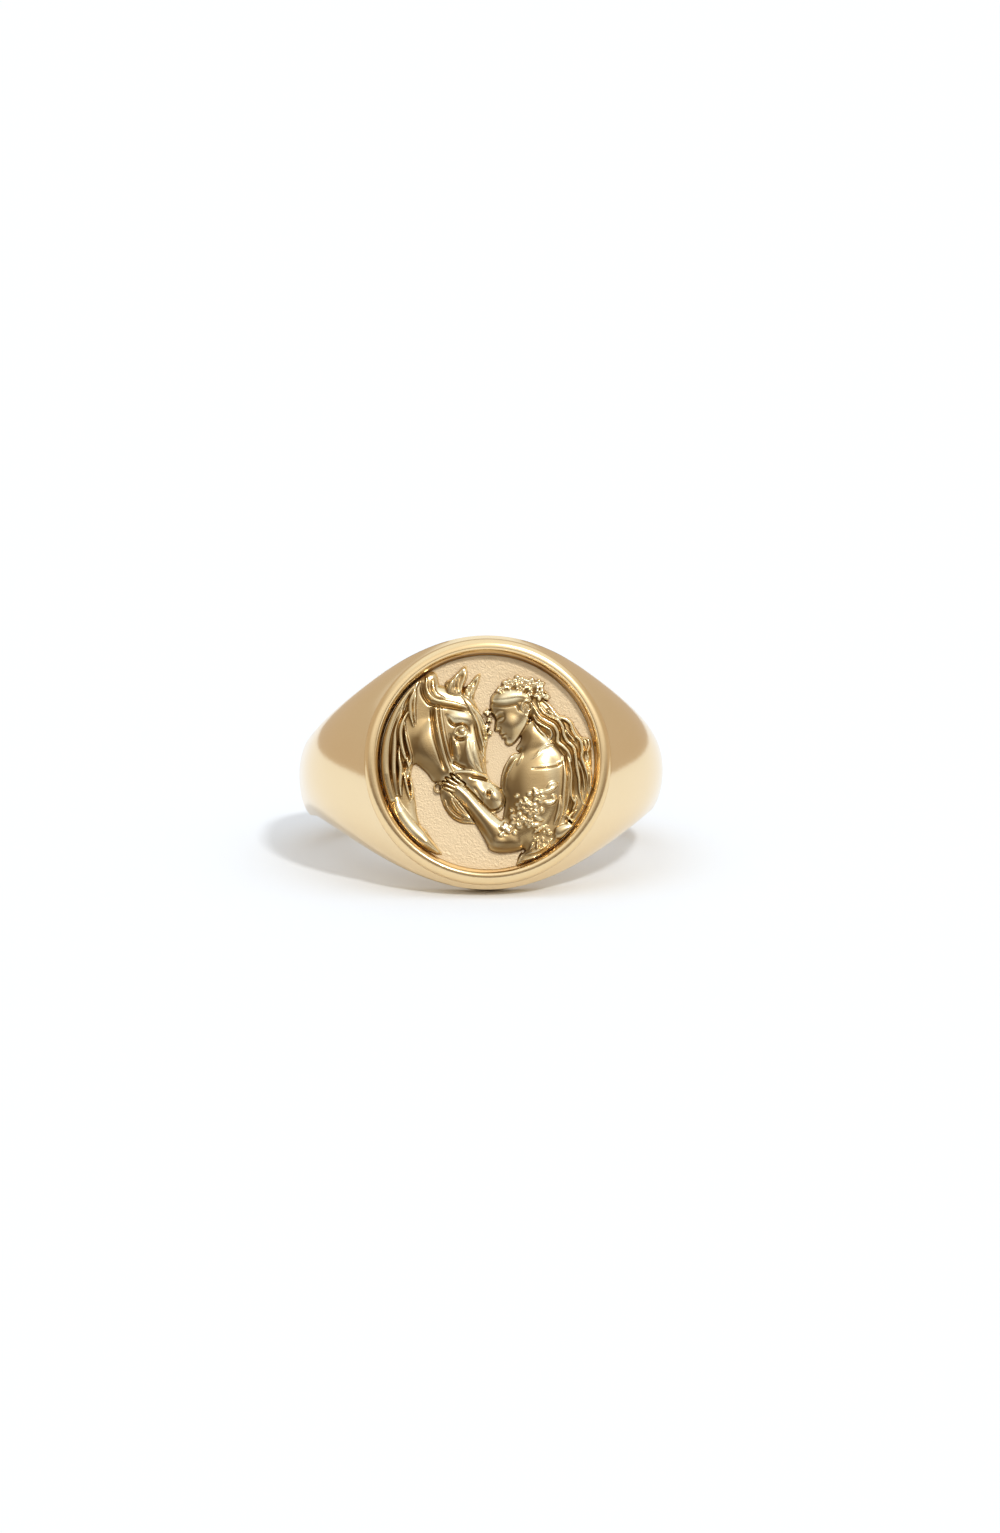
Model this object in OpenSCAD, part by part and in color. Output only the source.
// Round-faced signet ring, lying on its side the way such a ring rests on a table.
// Working frame of the pieces: X across the face, Y along the finger, Z out of the face,
// with the finger's centre at the origin. rest_pose() then turns every piece so that +Z is up.

/* [Finger] */
// Diameter of the finger bore (17.3 is a US size 7)
bore_d = 17.3; // [15:0.1:21]

/* [Hoop] */
// Thickness of the hoop at the middle of its width
hoop_t = 1.6; // [1.3:0.05:2.2]
// Thickness of the hoop at its two edges
edge_t = 1.05; // [0.8:0.05:1.2]
// Width of the hoop at the sides of the finger
side_w = 4.2; // [3.5:0.1:6]
// Width of the hoop under the finger
back_w = 2.8; // [2:0.1:3.4]
// How far the domed outside turns towards its two edges, in degrees
dome_arc = 66; // [50:1:85]
// Roundness of the shoulders seen along the finger (2 is an ellipse)
shoulder_power = 3.0; // [2:0.05:3.2]

/* [Head] */
// Height of the rim's crest above the finger bore
head_t = 2.55; // [2.3:0.05:4]
// Height of the head's flank above the finger bore
flank_t = 1.55; // [1.2:0.05:1.7]
// Width of the wall left outside the rim at the top and bottom of the head
lip_w = 0.2; // [0.15:0.05:0.6]
// Depth of the rim's crest above the point where the shoulders meet it
shoulder_drop = 0.25; // [0.2:0.05:0.6]

/* [Rim] */
// Inner diameter of the rim
rim_in_d = 11.94; // [10:0.02:13]
// Width of the rim's bead
rim_w = 0.88; // [0.6:0.02:1.2]
// Height of the bead's rounded top
bead_h = 0.45; // [0.3:0.05:0.6]

/* [Medallion] */
// Depth of the medallion's ground below the rim's crest
ground_depth = 1.0; // [0.7:0.05:1.1]
// Thickness of the medallion's disc
disc_t = 0.6; // [0.4:0.05:0.7]
// Gap for solder between the rim, its pocket and the disc
seat_gap = 0.02; // [0.01:0.01:0.05]

/* [Relief] */
// Thickness of the relief's lower step
relief_base_t = 0.35; // [0.2:0.05:0.4]
// Thickness of the relief's upper step
relief_top_t = 0.35; // [0.2:0.05:0.4]

/* [Hidden] */
$fn = 96;

bore_r = bore_d / 2;
hoop_r = bore_r + hoop_t;
edge_r = bore_r + edge_t;
crest_z = bore_r + head_t;
rim_in_r = rim_in_d / 2;
rim_out_r = rim_in_r + rim_w;
pocket_r = rim_out_r + seat_gap;
head_half = pocket_r + lip_w;
side_half = side_w / 2;
back_half = back_w / 2;
ground_z = crest_z - ground_depth;
pocket_z = ground_z - disc_t;
shoulder_z = crest_z - shoulder_drop;
flank_r = bore_r + flank_t;

// The shoulders' long half axis, which brings them to the rim at shoulder_z
shoulder_c = shoulder_z / pow(1 - pow(rim_out_r / hoop_r, shoulder_power), 1 / shoulder_power);
// Degrees of cosine for each mm across, which takes the head's width down to the side's
taper = acos(side_half / head_half) / edge_r;
// Lean that brings the head's low edge and the back's low edge onto one level
rest_tilt = atan((head_half - back_half) / (flank_r + edge_r));

gold = [0.86, 0.68, 0.38];
bright_gold = [0.93, 0.76, 0.46];
sand_gold = [0.88, 0.78, 0.62];
green_gold = [0.72, 0.64, 0.44];

STATIONS = 72;
ARC_STEPS = 12;

// Radius of an oval with half axes a across and c towards the face, at an angle from the face
function oval_r(a, c, power, angle) =
    abs(angle) >= 90 ? a
    : pow(pow(abs(sin(angle)) / a, power) + pow(cos(angle) / c, power), -1 / power);

// Half of the hoop's width at an angle from the face
function half_width(angle) =
    abs(angle) >= 90
        ? back_half + (side_half - back_half) * pow(sin(angle), 2)
        : head_half * cos(taper * oval_r(edge_r, flank_r, 2, angle) * abs(sin(angle)));

// One cross-section of the shank: two inner corners, then a domed outside. The dome is an arc
// that ends before it turns square to the side, so the shank keeps a clear edge.
function section(angle) =
    let (w = half_width(angle),
         low = oval_r(edge_r, flank_r, 2, angle),
         high = oval_r(hoop_r, shoulder_c, shoulder_power, angle),
         inside = bore_r - edge_t / 2)
    concat(
        [[inside, w], [inside, -w]],
        [for (i = [0 : ARC_STEPS])
            let (turn = dome_arc * (2 * i / ARC_STEPS - 1),
                 rise = (cos(turn) - cos(dome_arc)) / (1 - cos(dome_arc)))
            [low + (high - low) * rise, w * sin(turn) / sin(dome_arc)]]);

// The section's points (radius, place along the finger) set round the finger at an angle
function around(points, angle) =
    [for (p = points) [p[0] * sin(angle), p[1], p[0] * cos(angle)]];

// A smooth closed line through a few points
function spline(a, b, c, d, t) =
    0.5 * (2 * b + (c - a) * t + (2 * a - 5 * b + 4 * c - d) * t * t + (3 * b - a - 3 * c + d) * t * t * t);
function smooth_loop(p, steps = 4) =
    let (n = len(p))
    [for (i = [0 : n - 1], j = [0 : steps - 1])
        spline(p[(i + n - 1) % n], p[i], p[(i + 1) % n], p[(i + 2) % n], j / steps)];

// Outlines of the relief, drawn for a ground of radius DESIGN_R
DESIGN_R = 6;
relief_scale = (rim_in_r - seat_gap) / DESIGN_R;

HORSE = [
    [-1.15, 5.35], [-1.9, 4.85], [-2.6, 4.5], [-3.1, 4.95], [-3.7, 4.6], [-4.5, 3.75], [-5.2, 2.65],
    [-5.65, 1.2], [-5.8, -0.3], [-5.5, -1.9], [-4.9, -3.2], [-4.0, -4.3], [-2.8, -5.1], [-3.4, -4.3],
    [-3.95, -3.2], [-4.1, -2.1], [-4.25, -1.0], [-4.05, -0.1], [-3.3, -0.7], [-2.7, -1.5],
    [-2.5, -2.3], [-2.1, -3.0], [-1.4, -3.35], [-0.4, -3.3], [0.7, -2.9], [0.9, -1.9],
    [0.45, -1.3], [0.0, -0.9], [-0.1, 0.2], [-0.05, 1.3], [-0.3, 2.3], [-0.65, 3.3],
    [-0.35, 4.8], [-0.95, 4.4]
];
HORSE_HEAD = [
    [-2.9, 4.1], [-3.1, 2.6], [-3.8, 1.6], [-3.7, 0.5], [-2.9, -0.3], [-2.0, -0.9], [-0.9, -1.2],
    [-0.3, -0.6], [-0.3, 0.6], [-0.35, 1.8], [-0.9, 3.0], [-1.3, 4.1], [-2.1, 4.2]
];
NECK_LOCKS = [
    [-4.1, 4.2], [-5.0, 2.4], [-5.5, 0.5], [-5.45, -1.2], [-4.8, -2.9], [-3.9, -4.1],
    [-4.4, -2.6], [-4.6, -1.0], [-4.5, 0.8], [-4.2, 2.6]
];

WOMAN = [
    [0.75, 4.2], [1.4, 4.7], [2.2, 4.65], [3.0, 4.3], [3.5, 3.5], [4.3, 2.5], [5.1, 1.7], [5.6, 0.7],
    [5.75, -0.8], [5.5, -2.2], [4.95, -3.1], [4.2, -4.1], [3.1, -5.0], [1.7, -5.6], [2.0, -4.95],
    [0.4, -5.0], [-0.2, -4.2], [-0.9, -3.3], [-1.9, -2.2], [-2.7, -1.35], [-2.3, -0.75],
    [-1.4, -1.3], [-0.4, -2.3], [0.7, -3.2], [1.0, -2.2], [0.85, -1.0], [1.2, 0.0],
    [1.7, 0.65], [0.95, 0.75], [0.45, 1.7], [0.25, 2.7], [0.3, 3.5]
];
WOMAN_HEAD = [
    [0.9, 3.9], [1.7, 4.1], [2.6, 3.7], [2.95, 2.7], [2.5, 1.6], [1.6, 1.1], [0.9, 1.3],
    [0.6, 2.2], [0.5, 3.1]
];
WOMAN_HAIR = [
    [3.0, 3.4], [3.9, 2.4], [4.7, 1.4], [5.3, 0.2], [5.35, -1.3], [5.05, -2.6], [4.6, -1.4],
    [4.5, 0.0], [3.9, 1.0], [3.1, 1.9]
];
WOMAN_SLEEVE = [
    [2.3, 0.5], [3.4, 0.7], [4.0, -0.4], [4.0, -1.9], [3.3, -3.2], [2.0, -4.2], [0.6, -4.6],
    [-0.4, -3.6], [-1.4, -2.45], [-0.8, -2.2], [0.6, -3.5], [1.3, -2.3], [1.25, -0.8]
];

module rest_pose() {
    rotate([90 - rest_tilt, 0, 0]) children();
}

// The hoop, shoulders and head before they are drilled
module shank_blank() {
    rows = [for (i = [0 : STATIONS - 1]) around(section(360 * i / STATIONS - 180), 360 * i / STATIONS - 180)];
    m = len(rows[0]);
    polyhedron(
        points = [for (row = rows) each row],
        faces = [for (i = [0 : STATIONS - 1], j = [0 : m - 1])
            let (a = i * m + j,
                 b = i * m + (j + 1) % m,
                 c = ((i + 1) % STATIONS) * m + (j + 1) % m,
                 d = ((i + 1) % STATIONS) * m + j)
            each [[a, c, b], [a, d, c]]],
        convexity = 6);
}

// Hoop, shoulders and head in one casting, with the finger bore and the rim's pocket
module shank() {
    color(gold) rest_pose() difference() {
        shank_blank();
        rotate([90, 0, 0]) cylinder(h = 4 * head_half, r = bore_r, center = true);
        translate([0, 0, pocket_z]) cylinder(h = shoulder_c, r = pocket_r);
        translate([-hoop_r, -hoop_r, shoulder_z]) cube([2 * hoop_r, 2 * hoop_r, shoulder_c]);
    }
}

// Round-topped wall that frames the medallion
module bezel_rim() {
    bead = [for (i = [0 : ARC_STEPS])
        let (turn = 180 * i / ARC_STEPS)
        [rim_in_r + rim_w / 2 + rim_w / 2 * cos(turn), crest_z - bead_h + bead_h * sin(turn)]];
    color(bright_gold) rest_pose()
        rotate_extrude() polygon(concat([[rim_in_r, pocket_z], [rim_out_r, pocket_z]], bead));
}

// Plain disc that carries the relief and shows as its matt ground
module medallion_disc() {
    color(sand_gold) rest_pose()
        translate([0, 0, pocket_z]) cylinder(h = disc_t, r = rim_in_r - seat_gap);
}

// One step of the relief, standing on the ground or on the step below it
module relief_step(outline, from, thick) {
    translate([0, 0, ground_z + from])
        linear_extrude(height = thick)
            scale(relief_scale) polygon(smooth_loop(outline));
}

module woman_form() {
    relief_step(WOMAN, 0, relief_base_t);
    for (outline = [WOMAN_HEAD, WOMAN_HAIR, WOMAN_SLEEVE])
        relief_step(outline, relief_base_t, relief_top_t);
}

// The horse's head and neck, stopped where the woman's figure lies over them
module horse_relief() {
    color(green_gold) rest_pose() difference() {
        union() {
            relief_step(HORSE, 0, relief_base_t);
            relief_step(HORSE_HEAD, relief_base_t, relief_top_t);
            relief_step(NECK_LOCKS, relief_base_t, relief_top_t);
        }
        relief_step(WOMAN, -disc_t / 2, disc_t + relief_base_t + relief_top_t);
    }
}

module woman_relief() {
    color(green_gold) rest_pose() woman_form();
}

shank();
bezel_rim();
medallion_disc();
horse_relief();
woman_relief();
